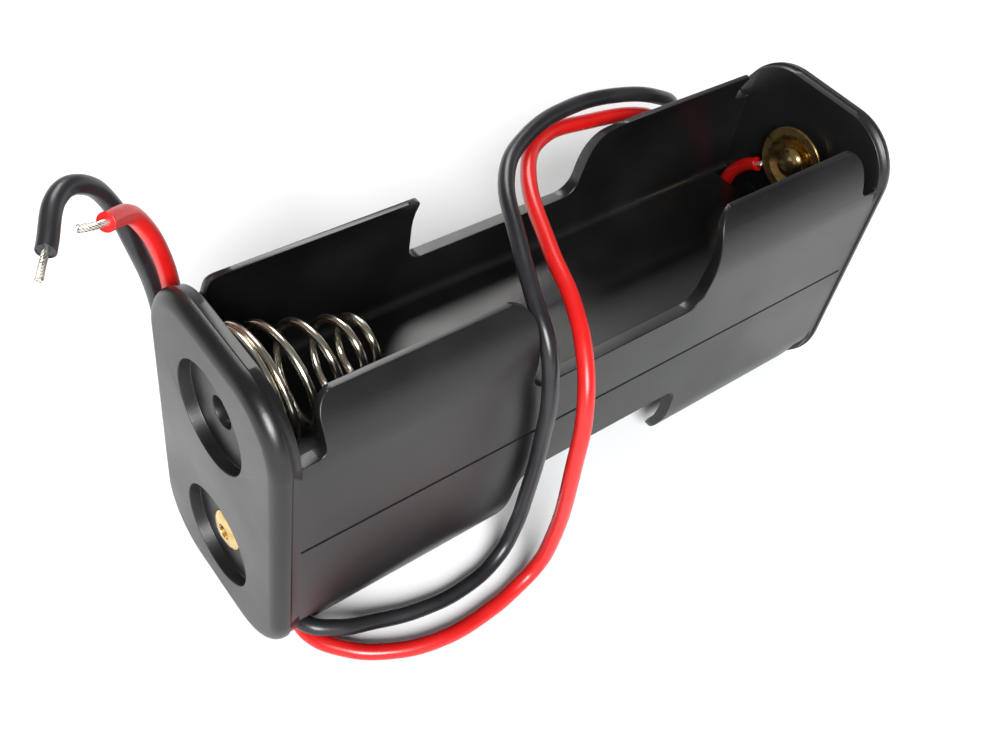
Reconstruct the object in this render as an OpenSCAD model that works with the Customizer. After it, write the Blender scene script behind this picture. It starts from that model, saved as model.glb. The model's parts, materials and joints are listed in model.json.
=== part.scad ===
// Holder for two AA cells back to back, wired in series, with two flying leads.
// X runs along the cells, Z is up; the origin is below the middle, on the surface it stands on.
// The upper cell has its spring at the -X end, and the lower half is the upper one turned about Y.

/* [Cells] */
// Diameter of a cell
cell_d = 14.5; // [13.8:0.1:14.7]
// Free length between the end plates, for a cell with its spring pressed in
bay_len = 57.2; // [55:0.2:60]

/* [End plates] */
// Width of an end plate
plate_w = 17.2; // [17:0.1:18]
// Height of an end plate
plate_h = 28.3; // [27.6:0.1:30]
// Thickness of an end plate
plate_t = 2.0; // [1.8:0.1:2.6]
// Radius of an end plate's corners
plate_corner_r = 5.5; // [3:0.1:6.5]
// Rounding of an end plate's outer edge
plate_edge_r = 1.1; // [0.5:0.05:1.2]
// Width of the raised rim round an end plate
rim_w = 1.25; // [1.2:0.05:1.6]
// Height of the rim above the walls
rim_step = 0.15; // [0.05:0.05:0.3]

/* [Contact wells] */
// Diameter of the round well outside each contact
well_d = 8.5; // [6:0.1:9]
// Depth of the well
well_depth = 0.95; // [0.5:0.05:1.1]
// Height of the wells' centres above and below the mid-plane
contact_z = 6.85; // [6:0.05:7.5]
// Diameter of the hole in the middle of each well
rivet_hole_d = 2.5; // [2:0.1:3]

/* [Walls] */
// Thickness of the side walls
wall_t = 1.1; // [0.9:0.05:1.15]
// Thickness of the web between the two cells
web_t = 2.5; // [2.2:0.1:3]
// Fillet between web and walls
web_fillet = 0.8; // [0.3:0.1:1.2]
// Width of the parting groove along the mid-plane
groove_w = 0.3; // [0.2:0.05:0.5]
// Depth of the parting groove
groove_depth = 0.1; // [0.05:0.05:0.2]

/* [Tabs] */
// Height of the tabs' tips above the mid-plane
tab_h = 13.0; // [12.4:0.1:13.4]
// Outer radius of the tabs' inward curl
curl_r = 6.8; // [6.4:0.1:7.4]
// Height above the mid-plane where the curl starts
curl_z = 8.0; // [7.6:0.1:8.4]
// Length of the spring-side tabs, from the end plate's inner face
spring_tab_len = 19.3; // [16:0.1:22]
// Length of the contact-side tabs at their foot, from the end plate's inner face
contact_tab_len = 20.5; // [17:0.1:22]
// Lean of the contact-side tabs' inner edge
tab_lean = 12; // [0:1:20]
// Height of the window's sill above the mid-plane
sill_z = 5.4; // [4:0.1:7]
// Fillets at the sill's spring end and contact end
sill_fillets = [1.2, 1.8]; // [0.6:0.1:2.4]
// Rounding of the tabs' upper corners at the window
tab_corner_r = 1.8; // [1:0.1:2.2]

/* [Notches beside the end plates] */
// Width of a notch
notch_w = 1.9; // [1.6:0.1:2.4]
// Height of a notch's floor above the mid-plane
notch_z = 9.3; // [8.6:0.1:10]
// Fillet in a notch's foot and rounding of the tab's corner above it
notch_radii = [0.6, 1.4]; // [0.4:0.1:1.6]

/* [Slots through the web] */
// Distance of the slot's middle from the centre plane
slot_y = 5.5; // [5.3:0.1:5.7]
// Width of a slot, along the end plate
slot_w = 2.7; // [2.5:0.1:3]
// Length of a slot, out from the end plate
slot_len = 1.6; // [1.5:0.1:2]

/* [Springs] */
// Wire diameter
spring_wire = 0.55; // [0.4:0.05:0.7]
// Radius of the coil at the end plate, to the middle of the wire
spring_base_r = 4.75; // [4.5:0.05:4.9]
// Radius of the coil at the cell
spring_tip_r = 2.2; // [1.8:0.1:2.6]
// Height of the spring's axis above the mid-plane
spring_z = 8.0; // [7.8:0.1:8.2]
// Pitch of each turn, from the end plate to the tip
spring_pitches = [1.0, 2.0, 2.1, 2.8, 1.5, 0.6];
// Radius of the hook that the tail makes round the contact rivet
hook_r = 3.2; // [3.1:0.05:3.4]
// Length of the lower spring's tail, up to the black lead's joint
lower_tail_len = 5; // [4:0.1:6]

/* [Contacts] */
// Outer diameter of the contact washer
washer_d = 6.6; // [6:0.1:7]
// Thickness of the washer's metal
washer_t = 0.25; // [0.2:0.05:0.4]
// Radial width of the washer's raised rim
washer_rim_w = 0.7; // [0.6:0.05:0.8]
// Diameter of the rivet's head
rivet_head_d = 2.9; // [2.6:0.1:3.2]
// Height of the rivet's domed head
rivet_head_h = 1.4; // [1:0.1:1.8]
// Diameter of the clinched end in the well
clinch_d = 3.5; // [3.2:0.1:4]
// Height of the clinched end
clinch_h = 0.4; // [0.3:0.05:0.6]
// Bore of the hollow clinched end
rivet_bore_d = 1.3; // [1:0.1:1.5]
// Running clearance round the rivet's shank and under the washer's rim
fit = 0.05; // [0.03:0.01:0.08]

/* [Leads] */
// Outer diameter of the insulation
lead_d = 1.3; // [1.2:0.05:1.35]
// Diameter of the tinned conductor
core_d = 0.5; // [0.4:0.05:0.6]
// Direction in which the red lead meets its washer, from straight across
red_joint_a = -37; // [-60:1:-20]
// Diameter of the black lead's solder sleeve
joint_d = 1.1; // [1:0.05:1.2]
// Length of the black lead's solder sleeve
joint_len = 1.8; // [1:0.1:2.5]

/* [Hidden] */
$fn = 48;
end_x = bay_len / 2;
mid_z = plate_h / 2;
wall_y = plate_w / 2 - rim_step;
inner_y = wall_y - wall_t;
cell_z = (web_t + cell_d) / 2;
shank_d = rivet_hole_d - 2 * fit;
washer_rise = spring_wire + 2 * fit;
lead_fn = 8;
wire_fn = 8;
turn_steps = 16;
// the leads' middle lines, from the joint inside the holder to the bare end
red_route = [[27.9, 3.3, 18.5], [27.9, 4.6, 17.5], [27.9, 5.9, 15.2], [27.9, 6.05, 6.6], [27.9, 6.35, 4.8],
    [27.9, 7.4, 3.7], [27.8, 9, 3.4], [27.2, 10.9, 4.3], [25.3, 12.1, 8], [22.8, 11.4, 14],
    [19.4, 10.1, 21.8], [16.8, 9.6, 23.6], [10.2, 9.5, 25.1], [3.9, 8.4, 26.3], [-0.4, 5, 26.8],
    [-3.9, -2.2, 26], [-5.4, -6.8, 25.2], [-6.8, -10.2, 23.6], [-7.9, -12.4, 20.8], [-8.4, -13.3, 15.8],
    [-8.4, -13.3, 5], [-9.1, -13.2, 2.4], [-11, -13.3, 1], [-14, -13.7, 0.75], [-19, -13.6, 0.7],
    [-23, -12.2, 0.7], [-25.6, -10.2, 0.7], [-27.2, -7.6, 0.7], [-27.1, -5.5, 0.7], [-26, -1.5, 0.9],
    [-26.1, 2.2, 1.6], [-27.5, 6, 2.4], [-27.9, 8.4, 3], [-27.9, 9.5, 5], [-28.1, 9.4, 22.5],
    [-28.9, 9.3, 27.9], [-30, 9.2, 30.8], [-30.8, 8.8, 32], [-31.8, 8, 32.8], [-32.9, 7.1, 33.5]];
black_route = [[26.8, 5, 10.8], [26.5, 5.6, 8.8], [26.5, 5.7, 5], [27.1, 5.8, 3.6], [27.45, 6.6, 2.3],
    [27.4, 8.2, 1.6], [27.3, 10.4, 1.9], [27, 12.4, 3.4], [26.4, 13.5, 7], [25.3, 13, 12],
    [23.9, 11.9, 18], [22, 10.4, 22.4], [18.6, 9.8, 24.8], [14, 9.8, 26.4], [7.7, 9.5, 27.4],
    [0.6, 7.2, 28], [-3.4, 4.2, 28], [-6.3, -1.2, 27], [-8, -5.4, 25.7], [-8.6, -8.2, 23.8],
    [-8.7, -9.4, 21], [-8, -9.4, 14], [-8.1, -9.4, 7], [-8.8, -9.7, 3.8], [-10.8, -10.3, 1.3],
    [-14.5, -10.9, 0.75], [-19, -10.6, 0.8], [-22.6, -9.7, 1.2], [-25.6, -9, 2.1], [-27.5, -7.5, 2.4],
    [-27.5, -1, 1.4], [-27.7, 3.5, 0.8], [-27.6, 9.7, 1.6], [-27.6, 11.2, 3.7], [-28.7, 10.9, 22],
    [-29.9, 10.8, 27.5], [-30.9, 11.6, 31], [-32.4, 11.2, 33.2], [-34.4, 10, 34.2], [-36.9, 6.4, 33.5]];
red_core_end = [-34.7, 7, 33.8];
black_core_end = [-38, 5.1, 32.7];

// --- small helpers ---

// turns the upper half into the lower one
module lower_half() { translate([0, 0, 2 * mid_z]) rotate([0, 180, 0]) children(); }

// the area between a round of radius r and the corner at p that it takes the place of, whose edges leave p
// towards angles a and b; it reaches a little past p, so that it overlaps what it is added to or cut from
module corner_2d(p, a, b, r) {
    half = (b - a) / 2;
    run = r / tan(half);
    middle = [cos(a + half), sin(a + half)];
    centre = p + r / sin(half) * middle;
    difference() {
        polygon([p - 0.3 * middle, p + run * [cos(a), sin(a)], centre, p + run * [cos(b), sin(b)]]);
        translate(centre) circle(r);
    }
}

function unit(v) = v / norm(v);
function turned(v, k, c, s) = v * c + cross(k, v) * s + k * (k * v) * (1 - c);
// moves the ring's first direction from one tangent to the next with the least twist
function carried(u, t0, t1) = let (k = cross(t0, t1), s = norm(k), c = t0 * t1)
    s < 1e-6 ? u : turned(u, k / s, c, s);
function tangents(p) = [for (i = [0:len(p) - 1])
    unit(unit(p[min(i + 1, len(p) - 1)] - p[i == len(p) - 1 ? i - 1 : i])
        + unit(p[i == 0 ? 1 : i] - p[max(i - 1, 0)]))];
function sides(t, i, u) = i == 0 ? [u] :
    let (before = sides(t, i - 1, u)) concat(before, [carried(before[i - 1], t[i - 1], t[i])]);

// a round tube along the points p
module tube(p, d, n) {
    t = tangents(p);
    first = unit(cross(t[0], abs(t[0][2]) < 0.9 ? [0, 0, 1] : [0, 1, 0]));
    u = sides(t, len(p) - 1, first);
    rings = [for (i = [0:len(p) - 1]) for (j = [0:n - 1])
        let (a = 360 * (j + 0.5) / n) p[i] + d / 2 * (u[i] * cos(a) + cross(t[i], u[i]) * sin(a))];
    walls = [for (i = [0:len(p) - 2]) for (j = [0:n - 1])
        let (k = (j + 1) % n) [i * n + j, (i + 1) * n + j, (i + 1) * n + k, i * n + k]];
    tail = [for (j = [0:n - 1]) j];
    head = [for (j = [n - 1:-1:0]) (len(p) - 1) * n + j];
    polyhedron(rings, concat([tail], walls, [head]), convexity = 10);
}

// --- holder body ---

// an end plate's cross-section, w wide, with its outer edges rounded
module plate_edge_2d(w) {
    difference() {
        translate([0, -w / 2]) square([rim_w, w]);
        corner_2d([0, -w / 2], 0, 90, plate_edge_r);
        corner_2d([0, w / 2], 270, 360, plate_edge_r);
    }
}

// a rounded rectangle across X
module plate_slab(w, h, r, t) {
    for (s = [-1, 1]) translate([0, s * (w / 2 - r), -h / 2 + r]) rotate([0, 90, 0]) cylinder(r = r, h = t);
    for (s = [-1, 1]) translate([0, s * (w / 2 - r), h / 2 - r]) rotate([0, 90, 0]) cylinder(r = r, h = t);
    translate([0, -w / 2, -h / 2 + r]) cube([t, w, h - 2 * r]);
    translate([0, -w / 2 + r, -h / 2]) cube([t, w - 2 * r, h]);
}

// the raised rim with its rounded outer edge, outer face at x = 0
module rim() {
    w = plate_w;
    h = plate_h;
    r = plate_corner_r;
    for (y = [-w / 2 + r, w / 2 - r]) for (z = [-h / 2 + r, h / 2 - r])
        translate([0, y, z]) rotate([0, 90, 0]) rotate_extrude()
            difference() {
                square([r, rim_w]);
                corner_2d([r, 0], 90, 180, plate_edge_r);
            }
    translate([0, 0, -h / 2 + r]) linear_extrude(h - 2 * r) plate_edge_2d(w);
    rotate([90, 0, 0]) translate([0, 0, -w / 2 + r]) linear_extrude(w - 2 * r) plate_edge_2d(h);
}

module contact_well(z) {
    translate([0, 0, z]) rotate([0, 90, 0]) {
        translate([0, 0, -1]) cylinder(d = well_d, h = well_depth + 1);
        cylinder(d = rivet_hole_d, h = plate_t + 1);
    }
}

// the end plate at the -X end
module end_plate() {
    translate([-end_x - plate_t, 0, mid_z]) difference() {
        union() {
            rim();
            translate([plate_edge_r, 0, 0])
                plate_slab(2 * wall_y, plate_h - 2 * rim_step, plate_corner_r - rim_step, plate_t - plate_edge_r);
        }
        contact_well(contact_z);
        contact_well(-contact_z);
    }
}

// the upper half's walls in cross-section: y across, z up from the mid-plane
module wall_2d() {
    curl_y = wall_y - curl_r;
    difference() {
        union() {
            translate([-wall_y, 0]) square([2 * wall_y, curl_z]);
            intersection() {
                translate([-wall_y, curl_z - 0.1]) square([2 * wall_y, tab_h - curl_z + 0.1]);
                union() {
                    for (s = [-1, 1]) translate([s * curl_y, curl_z]) circle(curl_r, $fn = 96);
                    translate([-curl_y, 0]) square([2 * curl_y, curl_z + curl_r]);
                }
            }
        }
        translate([-inner_y, web_t / 2]) square([2 * inner_y, cell_z - web_t / 2]);
        translate([0, cell_z]) circle(inner_y, $fn = 96);
    }
    for (s = [0, 1]) mirror([s, 0]) corner_2d([inner_y, web_t / 2], 90, 180, web_fillet);
}

// the window between the tabs, seen along Y: x from the middle, z from the mid-plane
module window_2d() {
    left = -end_x + spring_tab_len;
    foot = end_x - contact_tab_len;
    up = 90 - tab_lean;
    top = [foot + (tab_h - sill_z) / tan(up), tab_h];
    difference() {
        polygon([[left, sill_z], [foot, sill_z], top, top + [0, 1], [left, tab_h + 1]]);
        corner_2d([left, sill_z], 0, 90, sill_fillets[0]);
        corner_2d([foot, sill_z], up, 180, sill_fillets[1]);
    }
    corner_2d([left, tab_h], 180, 270, tab_corner_r);
    corner_2d(top, up - 180, 0, tab_corner_r);
}

// the notch beside an end plate whose inner face is at x = 0
module notch_2d() {
    difference() {
        translate([-0.3, notch_z]) square([notch_w + 0.3, tab_h - notch_z + 1]);
        corner_2d([notch_w, notch_z], 90, 180, notch_radii[0]);
    }
    corner_2d([notch_w, tab_h], 270, 360, notch_radii[1]);
}

module upper_walls() {
    difference() {
        translate([-end_x - 0.2, 0, mid_z]) rotate([90, 0, 90]) linear_extrude(bay_len + 0.4) wall_2d();
        translate([0, wall_y + 1, mid_z]) rotate([90, 0, 0]) linear_extrude(2 * wall_y + 2) {
            window_2d();
            translate([-end_x, 0]) notch_2d();
            translate([end_x, 0]) mirror([1, 0]) notch_2d();
        }
    }
}

module holder_body() {
    color([0.09, 0.09, 0.1]) difference() {
        union() {
            upper_walls();
            lower_half() upper_walls();
            end_plate();
            lower_half() end_plate();
        }
        for (s = [-1, 1]) translate([s * (end_x - slot_len / 2), slot_y, mid_z])
            cube([slot_len, slot_w, web_t + 1], center = true);
        for (s = [-1, 1]) translate([0, s * wall_y, mid_z])
            cube([bay_len, 2 * groove_depth, groove_w], center = true);
    }
}

// --- springs: t counts turns, and the coil's top is passed at every whole t ---

turns = len(spring_pitches);
function run_to(t) = t <= 0 ? t * spring_pitches[0] :
    let (i = min(ceil(t), turns) - 1) (t - i) * spring_pitches[i] + (i == 0 ? 0 : run_to(i));
spring_run = run_to(turns);
function coil_r(t) = spring_base_r + (spring_tip_r - spring_base_r) * max(0, run_to(t) - spring_pitches[0])
    / (spring_run - spring_pitches[0]);
// the coil starts a quarter turn before its first top, with the wire against the end plate
coil_x = -end_x + spring_wire / 2 + fit + spring_pitches[0] / 4;
function coil_point(t) = [coil_x + run_to(t), coil_r(t) * cos(360 * t + 90),
    mid_z + spring_z + coil_r(t) * sin(360 * t + 90)];
coil_points = [for (i = [0:turn_steps * (turns + 0.25)]) coil_point(i / turn_steps - 0.25)];

// the tail goes straight down beside the coil to the web, and there to the rivet below
tail_x = coil_points[0][0];
tail_top = [tail_x, spring_base_r, mid_z + spring_z];
tail_knee = [tail_x, spring_base_r, mid_z];
hook_z = mid_z - contact_z;
hook_start = atan2(mid_z - hook_z, spring_base_r) - acos(hook_r / norm([spring_base_r, mid_z - hook_z]));
hook_points = [for (a = [hook_start - 135:15:hook_start]) [tail_x, hook_r * cos(a), hook_z + hook_r * sin(a)]];

module upper_spring() {
    tail = [tail_knee - [0, 0, 0.8], tail_knee + [0, 0, 0.8], tail_top - [0, 0, 4], tail_top - [0, 0, 1]];
    color([0.78, 0.76, 0.72]) tube(concat(hook_points, tail, coil_points), spring_wire, wire_fn);
}

module lower_spring() {
    tail = [tail_top - [0, 0, lower_tail_len], tail_top - [0, 0, 1]];
    color([0.78, 0.76, 0.72]) lower_half() tube(concat(tail, coil_points), spring_wire, wire_fn);
}

// --- contacts: drawn along Z, with the end plate's inner face at z = 0 and the cell above it ---

module contact_place() { translate([end_x, 0, mid_z + contact_z]) rotate([0, -90, 0]) children(); }

module washer() {
    flat_r = rivet_head_d / 2 + 0.3;
    rim_r = washer_d / 2 - washer_rim_w;
    rotate_extrude() {
        polygon([[rivet_hole_d / 2, 0], [flat_r, 0], [rim_r, washer_rise], [washer_d / 2, washer_rise],
            [washer_d / 2, washer_rise + washer_t], [rim_r - washer_t / 2, washer_rise + washer_t],
            [flat_r - washer_t / 2, washer_t], [rivet_hole_d / 2, washer_t]]);
    }
}

module rivet() {
    well_floor = plate_t - well_depth;
    dome_h = rivet_head_h - 0.6;
    dome_r = (pow(rivet_head_d / 2, 2) + dome_h * dome_h) / (2 * dome_h);
    difference() {
        rotate_extrude() {
            translate([0, -well_floor - clinch_h]) square([shank_d / 2, well_floor + clinch_h + washer_t]);
            translate([0, washer_t]) square([rivet_head_d / 2, 0.6]);
            intersection() {
                translate([0, washer_t + 0.6]) square([rivet_head_d / 2, dome_h]);
                translate([0, washer_t + rivet_head_h - dome_r]) circle(dome_r, $fn = 96);
            }
            difference() {
                translate([0, -well_floor - clinch_h]) square([clinch_d / 2, clinch_h]);
                corner_2d([clinch_d / 2, -well_floor - clinch_h], 90, 180, clinch_h * 0.7);
            }
        }
        translate([0, 0, -well_floor - clinch_h - 1]) cylinder(d = rivet_bore_d, h = clinch_h + 1.6);
    }
}

module upper_contact_washer() { color([0.78, 0.62, 0.3]) contact_place() washer(); }
module lower_contact_washer() { color([0.78, 0.62, 0.3]) lower_half() contact_place() washer(); }
module upper_contact_rivet() { color([0.85, 0.7, 0.36]) contact_place() rivet(); }
module lower_contact_rivet() { color([0.85, 0.7, 0.36]) lower_half() contact_place() rivet(); }

// --- leads ---

module red_lead() { color([0.85, 0.05, 0.06]) tube(red_route, lead_d, lead_fn); }
module black_lead() { color([0.06, 0.06, 0.07]) tube(black_route, lead_d, lead_fn); }

// a bare core: it leaves the insulation's end face at a right angle and runs on through the points p
module core(end, before, p) { tube(concat([end, end + 0.3 * unit(end - before)], p), core_d, wire_fn); }

// the soldered end of the red lead, tucked under the washer's raised rim
module red_lead_joint() {
    under = [end_x - fit - core_d / 2, 0, mid_z + contact_z];
    at = washer_d / 2 - washer_rim_w / 2;
    way = [0, cos(red_joint_a), sin(red_joint_a)];
    color([0.72, 0.72, 0.7]) core(red_route[0], red_route[1], [under + (at + 0.55) * way, under + at * way]);
}

// the soldered sleeve that ties the black lead's end to the lower spring's tail, flat against the end plate
module black_lead_joint() {
    foot = [-tail_x, spring_base_r, mid_z - spring_z + lower_tail_len - joint_len];
    color([0.72, 0.72, 0.7]) {
        difference() {
            translate(foot) cylinder(d = joint_d, h = joint_len + fit);
            translate(foot - [0, 0, 1]) cylinder(d = spring_wire + 2 * fit, h = joint_len + 1);
            translate([end_x - fit, 0, 0]) cube([plate_t, plate_w, plate_h]);
        }
        core(black_route[0], black_route[1], [foot + [-joint_d / 2 + 0.1, 0, joint_len - 0.3]]);
    }
}

module lead_tip(route, p) { core(route[len(route) - 1], route[len(route) - 2], [p]); }

module red_lead_tip() { color([0.8, 0.78, 0.75]) lead_tip(red_route, red_core_end); }
module black_lead_tip() { color([0.8, 0.78, 0.75]) lead_tip(black_route, black_core_end); }

holder_body();
upper_spring();
lower_spring();
upper_contact_washer();
lower_contact_washer();
upper_contact_rivet();
lower_contact_rivet();
red_lead();
black_lead();
red_lead_joint();
black_lead_joint();
red_lead_tip();
black_lead_tip();
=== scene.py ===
import json
import math
import bmesh
import bpy
from mathutils import Matrix, Vector


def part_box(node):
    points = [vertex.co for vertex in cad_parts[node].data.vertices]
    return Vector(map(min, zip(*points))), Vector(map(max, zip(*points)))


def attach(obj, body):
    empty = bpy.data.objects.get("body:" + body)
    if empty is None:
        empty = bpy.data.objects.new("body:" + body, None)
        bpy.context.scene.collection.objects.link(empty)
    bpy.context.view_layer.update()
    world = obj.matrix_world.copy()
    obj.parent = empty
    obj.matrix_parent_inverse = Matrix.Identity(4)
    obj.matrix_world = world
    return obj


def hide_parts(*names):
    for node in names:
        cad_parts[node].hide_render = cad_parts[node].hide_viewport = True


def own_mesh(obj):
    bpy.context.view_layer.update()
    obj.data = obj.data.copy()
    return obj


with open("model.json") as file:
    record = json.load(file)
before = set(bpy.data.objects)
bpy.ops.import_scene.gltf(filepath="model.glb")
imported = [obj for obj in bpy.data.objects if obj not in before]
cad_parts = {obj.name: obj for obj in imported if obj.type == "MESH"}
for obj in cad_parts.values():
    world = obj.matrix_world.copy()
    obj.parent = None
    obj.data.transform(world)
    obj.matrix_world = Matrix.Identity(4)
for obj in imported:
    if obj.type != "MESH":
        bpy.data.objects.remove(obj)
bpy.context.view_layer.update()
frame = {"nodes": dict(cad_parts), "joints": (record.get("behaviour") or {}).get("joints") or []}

# --- the view ---
# The holder is seen from above its spring end and the near side, with the cells' line running away
# to the upper right. The camera leans to one side, so the end plate's upright edges tilt.
camera_place = Vector((-0.0520, -0.0452, 0.0813))
camera_heading = math.radians(43.32)  # from +X towards +Y
camera_dip = math.radians(47.21)
camera_roll = math.radians(11.96)

ahead = Vector((
    math.cos(camera_dip) * math.cos(camera_heading),
    math.cos(camera_dip) * math.sin(camera_heading),
    -math.sin(camera_dip),
))
level_right = ahead.cross(Vector((0, 0, 1))).normalized()
level_up = level_right.cross(ahead)
right = math.cos(camera_roll) * level_right + math.sin(camera_roll) * level_up
up = math.cos(camera_roll) * level_up - math.sin(camera_roll) * level_right
camera_data = bpy.data.cameras.new("camera")
camera_data.lens = 41.45
camera_data.sensor_width = 36
camera_data.clip_start = 0.001
camera = bpy.data.objects.new("camera", camera_data)
camera_axes = Matrix((right, up, -ahead)).transposed().to_4x4()
camera.matrix_world = Matrix.Translation(camera_place) @ camera_axes
bpy.context.scene.collection.objects.link(camera)
bpy.context.scene.camera = camera


# --- the floor and the light ---
# A sheet of white card under soft studio light: one large lamp beyond the far corner, a second one
# behind the camera, and a pale backdrop all round under a dim ceiling.
card_size = 1.4
lamp_aim = Vector((0, 0, 0.01))


def new_material(name):
    """A material with nodes, and its Principled shader."""
    material = bpy.data.materials.new(name)
    material.use_nodes = True
    return material, material.node_tree.nodes["Principled BSDF"]


def new_object(name, data):
    piece = bpy.data.objects.new(name, data)
    bpy.context.scene.collection.objects.link(piece)
    return piece


def solid_piece(name, shape, finish, crease=None):
    """An object from the bmesh shape, shaded smooth but for the edges that turn more than crease."""
    mesh = bpy.data.meshes.new(name)
    shape.to_mesh(mesh)
    shape.free()
    for face in mesh.polygons:
        face.use_smooth = True
    if crease is not None:
        mesh.set_sharp_from_angle(angle=crease)
    mesh.materials.append(finish)
    return new_object(name, mesh)


def set_ramp(node, stops):
    """The two stops of a colour ramp, each a position and a colour."""
    for stop, (position, colour) in zip(node.color_ramp.elements, stops):
        stop.position = position
        stop.color = (*colour, 1)


def soft_lamp(name, place, size, watts, tint):
    data = bpy.data.lights.new(name, "AREA")
    data.shape = "DISK"
    data.size = size
    data.energy = watts
    data.color = tint
    lamp = new_object(name, data)
    lamp.location = place
    lamp.rotation_euler = (lamp_aim - Vector(place)).to_track_quat("-Z", "Y").to_euler()


card_shape = bmesh.new()
bmesh.ops.create_grid(card_shape, x_segments=1, y_segments=1, size=card_size / 2)
card_finish, shader = new_material("white_card")
shader.inputs["Base Color"].default_value = (0.93, 0.93, 0.93, 1)
shader.inputs["Roughness"].default_value = 0.9
shader.inputs["Specular IOR Level"].default_value = 0.1
card = solid_piece("card", card_shape, card_finish)

soft_lamp("key_lamp", (0.34, 0.58, 0.68), size=0.45, watts=4.6, tint=(1.0, 0.99, 0.97))
soft_lamp("fill_lamp", (-0.45, -0.65, 0.60), size=0.50, watts=17.0, tint=(0.98, 0.99, 1.0))

room = bpy.data.worlds.new("room")
room.use_nodes = True
nodes, links = room.node_tree.nodes, room.node_tree.links
outward = nodes.new("ShaderNodeTexCoord")
height = nodes.new("ShaderNodeSeparateXYZ")
links.new(outward.outputs["Generated"], height.inputs["Vector"])
backdrop = nodes.new("ShaderNodeValToRGB")
set_ramp(backdrop, ((0.05, (0.95, 0.96, 0.97)), (0.20, (0.155, 0.157, 0.16))))
links.new(height.outputs["Z"], backdrop.inputs["Fac"])
links.new(backdrop.outputs["Color"], nodes["Background"].inputs["Color"])
bpy.context.scene.world = room
bpy.context.scene.view_settings.view_transform = "Standard"

# --- the two leads ---
# Each lead is a few tinned strands in soft PVC, 1.3 mm across. The red one comes from the upper
# contact and the black one from the lower spring. Both come out beside the far end plate, pass over
# the holder and along the card, go in under its spring end, and stand up along that plate's back edge.
lead_diameter = 0.0013
red_route = [
    (0.0279, 0.0033, 0.0185), (0.0279, 0.0046, 0.0175), (0.0279, 0.0059, 0.0152),
    (0.0279, 0.00605, 0.0066), (0.0279, 0.00635, 0.0048), (0.0279, 0.0074, 0.0037),
    (0.0278, 0.009, 0.0034), (0.0272, 0.0109, 0.0043), (0.0253, 0.0121, 0.008), (0.0228, 0.0114, 0.014),
    (0.0194, 0.0101, 0.0218), (0.0168, 0.0096, 0.0236), (0.0102, 0.0095, 0.0251),
    (0.0039, 0.0084, 0.0263), (-0.0004, 0.005, 0.0268), (-0.0039, -0.0022, 0.026),
    (-0.0054, -0.0068, 0.0252), (-0.0068, -0.0102, 0.0236), (-0.0079, -0.0124, 0.0208),
    (-0.0084, -0.0133, 0.0158), (-0.0084, -0.0133, 0.005), (-0.0091, -0.0132, 0.0024),
    (-0.011, -0.0133, 0.001), (-0.014, -0.0137, 0.00075), (-0.019, -0.0136, 0.0007),
    (-0.023, -0.0122, 0.0007), (-0.0256, -0.0102, 0.0007), (-0.0272, -0.0076, 0.0007),
    (-0.0271, -0.0055, 0.0007), (-0.026, -0.0015, 0.0009), (-0.0261, 0.0022, 0.0016),
    (-0.0275, 0.006, 0.0024), (-0.0279, 0.0084, 0.003), (-0.0279, 0.0095, 0.005),
    (-0.0281, 0.0094, 0.0225), (-0.0289, 0.0093, 0.0279), (-0.03, 0.0092, 0.0308),
    (-0.0308, 0.0088, 0.032), (-0.0318, 0.008, 0.0328), (-0.0329, 0.0071, 0.0335),
]
black_route = [
    (0.0268, 0.005, 0.0108), (0.0265, 0.0056, 0.0088), (0.0265, 0.0057, 0.005), (0.0271, 0.0058, 0.0036),
    (0.02745, 0.0066, 0.0023), (0.0274, 0.0082, 0.0016), (0.0273, 0.0104, 0.0019),
    (0.027, 0.0124, 0.0034), (0.0264, 0.0135, 0.007), (0.0253, 0.013, 0.012), (0.0239, 0.0119, 0.018),
    (0.022, 0.0104, 0.0224), (0.0186, 0.0098, 0.0248), (0.014, 0.0098, 0.0264), (0.0077, 0.0095, 0.0274),
    (0.0006, 0.0072, 0.028), (-0.0034, 0.0042, 0.028), (-0.0063, -0.0012, 0.027),
    (-0.008, -0.0054, 0.0257), (-0.0086, -0.0082, 0.0238), (-0.0087, -0.0094, 0.021),
    (-0.008, -0.0094, 0.014), (-0.0081, -0.0094, 0.007), (-0.0088, -0.0097, 0.0038),
    (-0.0108, -0.0103, 0.0013), (-0.0145, -0.0109, 0.00075), (-0.019, -0.0106, 0.0008),
    (-0.0226, -0.0097, 0.0012), (-0.0256, -0.009, 0.0021), (-0.0275, -0.0075, 0.0024),
    (-0.0275, -0.001, 0.0014), (-0.0277, 0.0035, 0.0008), (-0.0276, 0.0097, 0.0016),
    (-0.0276, 0.0112, 0.0037), (-0.0287, 0.0109, 0.022), (-0.0299, 0.0108, 0.0275),
    (-0.0309, 0.0116, 0.031), (-0.0324, 0.0112, 0.0332), (-0.0344, 0.01, 0.0342),
    (-0.0369, 0.0064, 0.0335),
]


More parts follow.
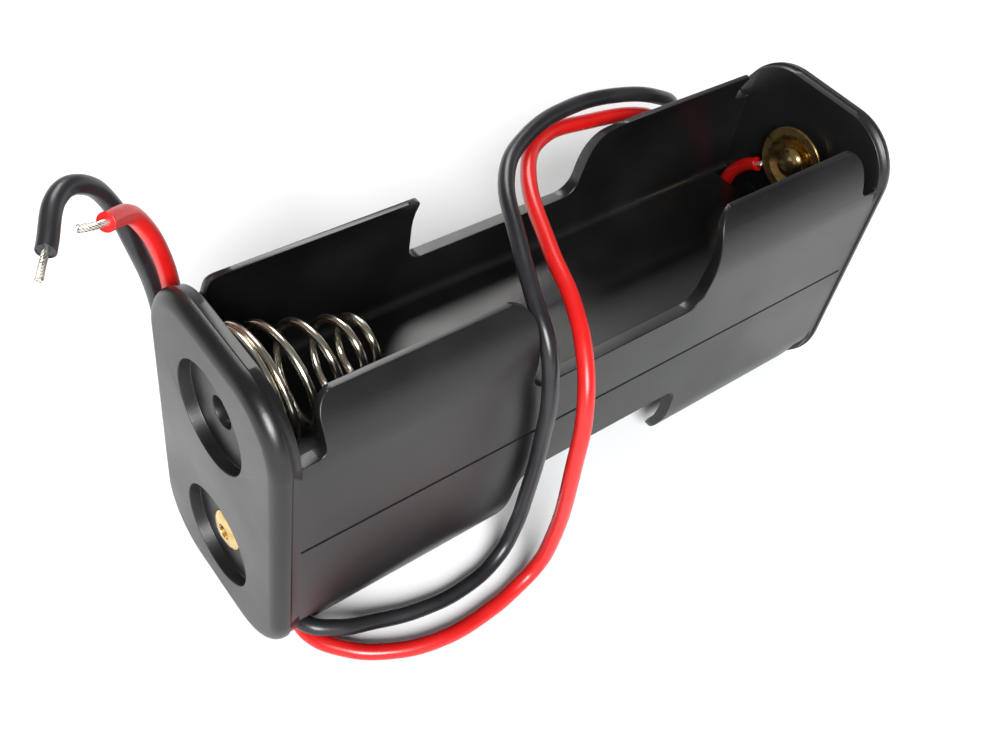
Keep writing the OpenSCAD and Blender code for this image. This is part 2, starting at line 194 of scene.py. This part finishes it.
def unevenness_group():
    """Slow variation and fine grain, as masks from 0 to 1 round a middle of 0.5."""
    group = bpy.data.node_groups.new("unevenness", "ShaderNodeTree")
    group.interface.new_socket("Vector", in_out="INPUT", socket_type="NodeSocketVector")
    for name, start in (("Broad Scale", 200.0), ("Grain Scale", 4000.0)):
        socket = group.interface.new_socket(name, in_out="INPUT", socket_type="NodeSocketFloat")
        socket.default_value = start
    for name in ("Broad", "Grain"):
        group.interface.new_socket(name, in_out="OUTPUT", socket_type="NodeSocketFloat")
    entry = group.nodes.new("NodeGroupInput")
    leave = group.nodes.new("NodeGroupOutput")
    for name, detail in (("Broad", 3.0), ("Grain", 2.0)):
        noise = group.nodes.new("ShaderNodeTexNoise")
        noise.inputs["Detail"].default_value = detail
        group.links.new(entry.outputs["Vector"], noise.inputs["Vector"])
        group.links.new(entry.outputs[name + " Scale"], noise.inputs["Scale"])
        group.links.new(noise.outputs["Fac"], leave.inputs[name])
    return group


unevenness = unevenness_group()


def uneven_finish(name, dark, light, rough, metal=0.0, coat=0.0, broad=200.0, grain=4000.0,
                  bump=0.000004):
    """A finish whose colour goes from dark to light, and its roughness over the range rough, with the
    unevenness of the surface. broad and grain are in features a metre, bump is in metres."""
    material, shader = new_material(name)
    nodes, links = material.node_tree.nodes, material.node_tree.links
    place = nodes.new("ShaderNodeTexCoord")
    patches = nodes.new("ShaderNodeGroup")
    patches.node_tree = unevenness
    patches.inputs["Broad Scale"].default_value = broad
    patches.inputs["Grain Scale"].default_value = grain
    links.new(place.outputs["Object"], patches.inputs["Vector"])
    colour = nodes.new("ShaderNodeValToRGB")
    set_ramp(colour, ((0.35, dark), (0.65, light)))
    links.new(patches.outputs["Broad"], colour.inputs["Fac"])
    links.new(colour.outputs["Color"], shader.inputs["Base Color"])
    gloss = nodes.new("ShaderNodeMapRange")
    gloss.inputs["From Min"].default_value = 0.3
    gloss.inputs["From Max"].default_value = 0.7
    gloss.inputs["To Min"].default_value = rough[0]
    gloss.inputs["To Max"].default_value = rough[1]
    links.new(patches.outputs["Broad"], gloss.inputs["Value"])
    links.new(gloss.outputs["Result"], shader.inputs["Roughness"])
    relief = nodes.new("ShaderNodeBump")
    relief.inputs["Distance"].default_value = bump
    links.new(patches.outputs["Grain"], relief.inputs["Height"])
    links.new(relief.outputs["Normal"], shader.inputs["Normal"])
    shader.inputs["Metallic"].default_value = metal
    shader.inputs["Coat Weight"].default_value = coat
    return material


def lead_curve(name, route, finish):
    """One round lead along its route, as a smooth open curve."""
    data = bpy.data.curves.new(name, "CURVE")
    data.dimensions = "3D"
    data.resolution_u = 8
    data.bevel_depth = lead_diameter / 2
    data.bevel_resolution = 6
    data.use_fill_caps = True
    spline = data.splines.new("BEZIER")
    spline.bezier_points.add(len(route) - 1)
    for point, place in zip(spline.bezier_points, route):
        point.co = place
        point.handle_left_type = "AUTO"
        point.handle_right_type = "AUTO"
    data.materials.append(finish)
    return new_object(name, data)


red_pvc = uneven_finish("red_pvc", dark=(0.50, 0.006, 0.005), light=(0.60, 0.010, 0.009),
                        rough=(0.26, 0.40), coat=0.1)
black_pvc = uneven_finish("black_pvc", dark=(0.008, 0.008, 0.010), light=(0.016, 0.016, 0.019),
                          rough=(0.30, 0.44), coat=0.1)
red_lead = lead_curve("red_lead_wire", red_route, red_pvc)
black_lead = lead_curve("black_lead_wire", black_route, black_pvc)

for piece, node, slot in (
    (red_lead, "red_lead", "red_insulation"),
    (black_lead, "black_lead", "black_insulation"),
):
    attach(piece, "holder")
    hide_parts(node)

# --- the bared ends ---
# Seven tinned strands stick out of each lead's cut end, lightly twisted, as the stripper left them.
# The cut PVC ends in a slightly swollen lip.
strand_across = 0.00017
strand_circle = 0.00016  # radius of the ring that the six outer strands form
strand_root = 0.4  # how far back into the PVC the strands start, as a share of the route's last step
red_strand_bend = Vector((-0.0009, -0.0002, 0.0002))  # from the cut end
red_strand_end = Vector((-0.0347, 0.0070, 0.0338))
black_strand_bend = Vector((-0.0006, -0.0007, -0.0004))
black_strand_end = Vector((-0.0380, 0.0051, 0.0327))
lip_ring = 0.00059
lip_swell = 0.00006


def smooth_path(corners, steps):
    """Points along a smooth line through the corners, by the Catmull-Rom rule."""
    ends = [2 * corners[0] - corners[1]] + list(corners) + [2 * corners[-1] - corners[-2]]
    points = []
    for before, a, b, after in zip(ends, ends[1:], ends[2:], ends[3:]):
        for step in range(steps):
            t = step / steps
            points.append(0.5 * (
                2 * a + (b - before) * t + (2 * before - 5 * a + 4 * b - after) * t * t
                + (3 * a - before - 3 * b + after) * t ** 3
            ))
    return points + [corners[-1]]


def mesh_of(curve_object):
    """The curve's surface as a mesh object of the same name."""
    name = curve_object.name
    bpy.context.view_layer.update()
    evaluated = curve_object.evaluated_get(bpy.context.evaluated_depsgraph_get())
    shape = bpy.data.meshes.new_from_object(evaluated)
    old = curve_object.data
    bpy.data.objects.remove(curve_object)
    bpy.data.curves.remove(old)
    shape.name = name
    for face in shape.polygons:
        face.use_smooth = True
    return new_object(name, shape)


def round_wire(name, lines, across, finish, sides=3):
    """Round wires along lists of points, joined in one mesh with closed ends."""
    data = bpy.data.curves.new(name + "_line", "CURVE")
    data.dimensions = "3D"
    data.bevel_depth = across / 2
    data.bevel_resolution = sides
    data.use_fill_caps = True
    for line in lines:
        spline = data.splines.new("POLY")
        spline.points.add(len(line) - 1)
        for point, place in zip(spline.points, line):
            point.co = (*place, 1)
    data.materials.append(finish)
    return mesh_of(new_object(name, data))


def twisted_strands(name, corners, finish, twist=2.2, flare=0.0):
    """Seven strands twisted round the smooth line through the corners. twist is in turns, and flare is
    how far the outer strands spread at the far end."""
    line = smooth_path([Vector(c) for c in corners], steps=8)
    side = (line[1] - line[0]).orthogonal().normalized()
    outer = [[] for _ in range(6)]
    for i, point in enumerate(line):
        along = (line[min(i + 1, len(line) - 1)] - line[max(i - 1, 0)]).normalized()
        side = (side - side.dot(along) * along).normalized()
        share = i / (len(line) - 1)
        reach = strand_circle + flare * share ** 3
        for strand in range(6):
            angle = 2 * math.pi * (strand / 6 + twist * share)
            offset = math.cos(angle) * side + math.sin(angle) * along.cross(side)
            outer[strand].append(point + reach * offset)
    return round_wire(name, [line] + outer, strand_across, finish)


def cut_lip(name, route, finish):
    """The swollen lip round a lead's cut end."""
    end, before = Vector(route[-1]), Vector(route[-2])
    along = (end - before).normalized()
    section = Matrix.Translation((lip_ring, 0, 0)) @ Matrix.Rotation(math.pi / 2, 4, "X")
    lip = bmesh.new()
    bmesh.ops.create_circle(lip, cap_ends=False, radius=lip_swell, segments=12, matrix=section)
    bmesh.ops.spin(lip, geom=lip.verts[:] + lip.edges[:], cent=(0, 0, 0), axis=(0, 0, 1),
                   angle=2 * math.pi, steps=32, use_merge=True)
    bmesh.ops.remove_doubles(lip, verts=lip.verts, dist=1e-7)
    bmesh.ops.recalc_face_normals(lip, faces=lip.faces)
    facing = along.to_track_quat("Z", "Y").to_matrix().to_4x4()
    bmesh.ops.transform(lip, matrix=Matrix.Translation(end) @ facing, verts=lip.verts)
    return solid_piece(name, lip, finish)


tinned = uneven_finish("tinned_strands", dark=(0.60, 0.56, 0.48), light=(0.86, 0.83, 0.76),
                       rough=(0.22, 0.42), metal=1.0, broad=1800.0, grain=9000.0)
red_end = Vector(red_route[-1])
black_end = Vector(black_route[-1])
red_tip = twisted_strands("red_bared_strands", [
    red_end + strand_root * (Vector(red_route[-2]) - red_end),
    red_end,
    red_end + red_strand_bend,
    red_strand_end,
], tinned, flare=0.00004)
black_tip = twisted_strands("black_bared_strands", [
    black_end + strand_root * (Vector(black_route[-2]) - black_end),
    black_end,
    black_end + black_strand_bend,
    black_strand_end,
], tinned, flare=0.00003)
red_lip = cut_lip("red_cut_lip", red_route, red_pvc)
black_lip = cut_lip("black_cut_lip", black_route, black_pvc)
for piece, node in ((red_tip, "red_lead_tip"), (black_tip, "black_lead_tip")):
    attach(piece, "holder")
    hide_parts(node)
for piece, slot in ((red_lip, "red_insulation"), (black_lip, "black_insulation")):
    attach(piece, "holder")

# --- the holder body ---
# One black moulding in a tough satin plastic: two end plates, the web between the cells, and walls
# that curl in over each cell. The mould's sharp edges come out slightly rounded.
body_weld = 0.000002
body_edge_round = 0.00008
sharp_turn = math.radians(35)
least_room = 1.3  # the faces beside a rounded edge are wider than this many edge rounds
seam_reach = 0.0004  # nothing is rounded this near the parting line, at mid height
body_crease = math.radians(34)
body_low, body_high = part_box("holder_body")
middle_z = (body_low.z + body_high.z) / 2
body_shape = bmesh.new()
body_shape.from_mesh(frame["nodes"]["holder_body"].data)
bmesh.ops.remove_doubles(body_shape, verts=body_shape.verts, dist=body_weld)
sharp_edges = []
for edge in body_shape.edges:
    on_seam = abs((edge.verts[0].co.z + edge.verts[1].co.z) / 2 - middle_z) < seam_reach
    beside = min(face.calc_area() for face in edge.link_faces) / edge.calc_length()
    if not on_seam and beside > least_room * body_edge_round and edge.calc_face_angle(0) > sharp_turn:
        sharp_edges.append(edge)
bmesh.ops.bevel(body_shape, geom=sharp_edges, offset=body_edge_round, affect="EDGES", segments=2,
                profile=0.5, material=-1)
black_moulding = uneven_finish("black_moulding", dark=(0.0040, 0.0040, 0.0042),
                               light=(0.0075, 0.0075, 0.0078), rough=(0.28, 0.40), broad=120.0,
                               grain=6500.0, bump=0.000006)
body = solid_piece("holder_moulding", body_shape, black_moulding, crease=body_crease)
flat_faces = body.modifiers.new("flat_faces", "WEIGHTED_NORMAL")
flat_faces.keep_sharp = True
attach(body, "holder")
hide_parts("holder_body")

# --- the springs ---
# Each cell's minus end presses on a conical spring of nickel-plated 0.6 mm wire, whose wide turn sits
# against the end plate. The upper one's tail goes down through the web and hooks round the lower
# contact's rivet, which joins the cells in series. The lower one's ends in the black lead's joint.
wire = 0.00060
plate_x = frame["joints"][0]["deforming_nodes"][0]["fixed_end_x_m"]
# the next five are heights from the holder's middle
coil_z = 0.0077
contact_z = 0.00685
knee_heights = (0.0006, 0.0016)
upper_tail_foot = 0.0040
lower_tail_foot = 0.0030
tail_y = 0.00475
tail_top = 0.0010  # below the coil's middle
knee_start = 0.9  # share of the way from the hook to the middle
hook_radius = 0.0032
hook_sweep = math.radians(135)
hook_steps = 27
steps_a_turn = 40
# turns from the top of the first coil, distance from the end plate, radius
coil_shape = [
    (-0.25, 0.00033, tail_y), (0, 0.00085, 0.00485), (1, 0.00145, 0.00465), (2, 0.00325, 0.0041),
    (3, 0.0058, 0.00325), (4, 0.0083, 0.00255), (5, 0.00975, 0.0021), (5.4, 0.01015, 0.0019),
]


def coil_point(turns):
    """The wire's place after so many turns."""
    turns = min(turns, coil_shape[-1][0])
    after = next(i for i, spot in enumerate(coil_shape) if i and spot[0] >= turns)
    (t_a, run_a, r_a), (t_b, run_b, r_b) = coil_shape[after - 1:after + 1]
    share = (turns - t_a) / (t_b - t_a)
    radius = r_a + (r_b - r_a) * share
    angle = 2 * math.pi * turns + math.pi / 2
    return Vector((
        plate_x + run_a + (run_b - run_a) * share,
        radius * math.cos(angle),
        middle_z + coil_z + radius * math.sin(angle),
    ))


first_turn, last_turn = coil_shape[0][0], coil_shape[-1][0]
coil_steps = round(steps_a_turn * (last_turn - first_turn))
coil = [coil_point(first_turn + i / steps_a_turn) for i in range(coil_steps + 1)]
tail_x = coil[0].x


def tail_spot(height):
    """A point of the tail, so far above the holder's middle."""
    return Vector((tail_x, tail_y, middle_z + height))


# the hook ends where a straight line from the tail at mid height touches its circle
hook_z = middle_z - contact_z
hook_start = math.atan2(contact_z, tail_y) - math.acos(hook_radius / math.hypot(tail_y, contact_z))
hook = []
for i in range(hook_steps + 1):
    angle = hook_start - hook_sweep * (1 - i / hook_steps)
    across, rise = hook_radius * math.cos(angle), hook_radius * math.sin(angle)
    hook.append(Vector((tail_x, across, hook_z + rise)))
before_knee = hook[-1].lerp(tail_spot(0), knee_start)
knee = smooth_path([before_knee] + [tail_spot(height) for height in knee_heights], steps=5)
upper_line = hook + knee + [tail_spot(upper_tail_foot), tail_spot(coil_z - tail_top)] + coil
lower_line = [Vector((-p.x, p.y, 2 * middle_z - p.z)) for p in
              [tail_spot(lower_tail_foot), tail_spot(coil_z - tail_top)] + coil]

nickel = uneven_finish("nickel_plate", dark=(0.70, 0.63, 0.51), light=(0.86, 0.81, 0.70),
                       rough=(0.17, 0.26), metal=1.0, broad=500.0, grain=5000.0, bump=0.0000006)
for name, line, node, joint in (
    ("upper_spring_wire", upper_line, "upper_spring", "upper_spring_travel"),
    ("lower_spring_wire", lower_line, "lower_spring", "lower_spring_travel"),
):
    spring = round_wire(name, [line], wire, nickel, sides=6)
    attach(spring, node + "_coil")
    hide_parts(node)
    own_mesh(spring)

# --- the contacts ---
# Each cell's plus end meets a brass rivet with a domed head. It holds a dished brass washer against
# the end plate, and its hollow end is clinched over in the round well outside. Sizes across are
# radii, and heights count from the end plate's inner face.
washer_hole = 0.00128
washer_seat = 0.00175
washer_shoulder = 0.0026
washer_edge = 0.0033
washer_sheet = 0.00025
washer_dish = 0.00065
washer_bend = 0.00012  # how much further in the front face's folds lie
rivet_shank = 0.0012
rivet_bore = 0.00065
bore_floor = -0.0009
well_floor = -0.00105
clinch = 0.00175
clinch_side = -0.00115
clinch_curl = (0.0016, -0.0013)
clinch_tip = -0.00145
rivet_head = 0.00145
dome_foot = 0.00085
dome_rise = 0.0008
dome_steps = 8
turned_edge = math.radians(28)  # edges that turn more than this are rounded
turned_crease = math.radians(40)


def spun(name, profile, finish, matrix, steps=64, rounding=0.0):
    """A closed turned piece. profile is its half section, as (radius, height) points going round, and
    matrix puts it in place."""
    turned = bmesh.new()
    ring = [turned.verts.new((r, 0, h)) for r, h in profile]
    for a, b in zip(ring, ring[1:] + ring[:1]):
        turned.edges.new((a, b))
    bmesh.ops.spin(turned, geom=turned.verts[:] + turned.edges[:], cent=(0, 0, 0), axis=(0, 0, 1),
                   angle=2 * math.pi, steps=steps, use_merge=True)
    bmesh.ops.remove_doubles(turned, verts=turned.verts, dist=1e-7)
    bmesh.ops.dissolve_degenerate(turned, edges=turned.edges, dist=1e-7)
    bmesh.ops.recalc_face_normals(turned, faces=turned.faces)
    if rounding:
        edges = [e for e in turned.edges if e.is_manifold and e.calc_face_angle() > turned_edge]
        bmesh.ops.bevel(turned, geom=edges, offset=rounding, affect="EDGES", segments=3, profile=0.5,
                        material=-1)
    bmesh.ops.transform(turned, matrix=matrix, verts=turned.verts)
    return solid_piece(name, turned, finish, crease=turned_crease)


washer_profile = [
    (washer_hole, 0.0), (washer_seat, 0.0),
    (washer_shoulder, washer_dish), (washer_edge, washer_dish),
    (washer_edge, washer_dish + washer_sheet),
    (washer_shoulder - washer_bend, washer_dish + washer_sheet),
    (washer_seat - washer_bend, washer_sheet), (washer_hole, washer_sheet),
]
dome = []
for i in range(dome_steps + 1):
    angle = math.radians(90) * i / dome_steps
    dome.append((rivet_head * math.cos(angle), dome_foot + dome_rise * math.sin(angle)))
rivet_profile = [
    (0.0, bore_floor), (rivet_bore, bore_floor), (rivet_bore, clinch_tip), (rivet_shank, clinch_tip),
    clinch_curl, (clinch, clinch_side), (clinch, well_floor),
    (rivet_shank, well_floor), (rivet_shank, washer_sheet), (rivet_head, washer_sheet),
] + dome
brass = uneven_finish("brass", dark=(0.52, 0.33, 0.10), light=(0.78, 0.54, 0.20),
                      rough=(0.20, 0.36), metal=1.0, broad=700.0, grain=6000.0, bump=0.000003)
bright_brass = uneven_finish("bright_brass", dark=(0.58, 0.40, 0.14), light=(0.80, 0.60, 0.28),
                             rough=(0.16, 0.30), metal=1.0, broad=900.0, grain=7000.0, bump=0.000002)
upper_seat = (Matrix.Translation((-plate_x, 0, middle_z + contact_z))
              @ Matrix.Rotation(-math.pi / 2, 4, "Y"))
lower_seat = (Matrix.Translation((plate_x, 0, middle_z - contact_z))
              @ Matrix.Rotation(math.pi / 2, 4, "Y"))
for level, seat in (("upper", upper_seat), ("lower", lower_seat)):
    washer = spun(level + "_dished_washer", washer_profile, brass, seat, rounding=0.00006)
    rivet = spun(level + "_domed_rivet", rivet_profile, bright_brass, seat, rounding=0.00005)
    for piece, node in ((washer, "contact_washer"), (rivet, "contact_rivet")):
        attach(piece, "holder")
        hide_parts(level + "_" + node)

# --- the soldered joints ---
# The red lead's strands are soldered under the upper washer's rim. The black lead's strands are
# soldered to the lower spring's tail in a small flat bead.
red_joint_angle = math.radians(-37)  # round the contact, from +Y
red_joint_reach = (0.0035, 0.00295)  # from the contact's middle, past the rim and then under it
behind_rim = 0.0003
core_out = 0.2  # how far the strands run straight out of the PVC, as a share of the route's first step
bead_drop = 0.0048  # of the bead's foot, below the holder's middle
bead_flattening = 0.55
# radius, height
bead_profile = [
    (0.0, 0.0), (0.00034, 0.0), (0.00044, 0.0003), (0.00050, 0.0007),
    (0.00046, 0.0012), (0.00036, 0.0016), (0.00030, 0.0018), (0.0, 0.00185),
]
into_bead = (Vector((-0.0003, 0, 0.0013)), Vector((-0.0001, 0, 0.0009)))  # from the bead's foot

solder = uneven_finish("solder", dark=(0.50, 0.50, 0.49), light=(0.74, 0.73, 0.70),
                       rough=(0.20, 0.40), metal=1.0, broad=1500.0, grain=6000.0)
red_start, red_next = Vector(red_route[0]), Vector(red_route[1])
black_start, black_next = Vector(black_route[0]), Vector(black_route[1])
under_rim = Vector((-plate_x - behind_rim, 0, middle_z + contact_z))
way = Vector((0, math.cos(red_joint_angle), math.sin(red_joint_angle)))
red_joint = twisted_strands("red_joint_strands", [
    red_start + strand_root * (red_next - red_start),
    red_start + core_out * (red_start - red_next),
    under_rim + red_joint_reach[0] * way,
    under_rim + red_joint_reach[1] * way,
], solder, twist=0.8)
bead_foot = Vector((-tail_x, tail_y, middle_z - bead_drop))
bead_seat = Matrix.Translation(bead_foot) @ Matrix.Scale(bead_flattening, 4, (1, 0, 0))
bead = spun("black_joint_bead", bead_profile, solder, bead_seat, steps=24)
black_joint = twisted_strands("black_joint_strands", [
    black_start + strand_root * (black_next - black_start),
    black_start + core_out * (black_start - black_next),
    bead_foot + into_bead[0],
    bead_foot + into_bead[1],
], solder, twist=0.8)
for piece in (red_joint, black_joint, bead):
    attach(piece, "holder")
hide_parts("red_lead_joint")
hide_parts("black_lead_joint")
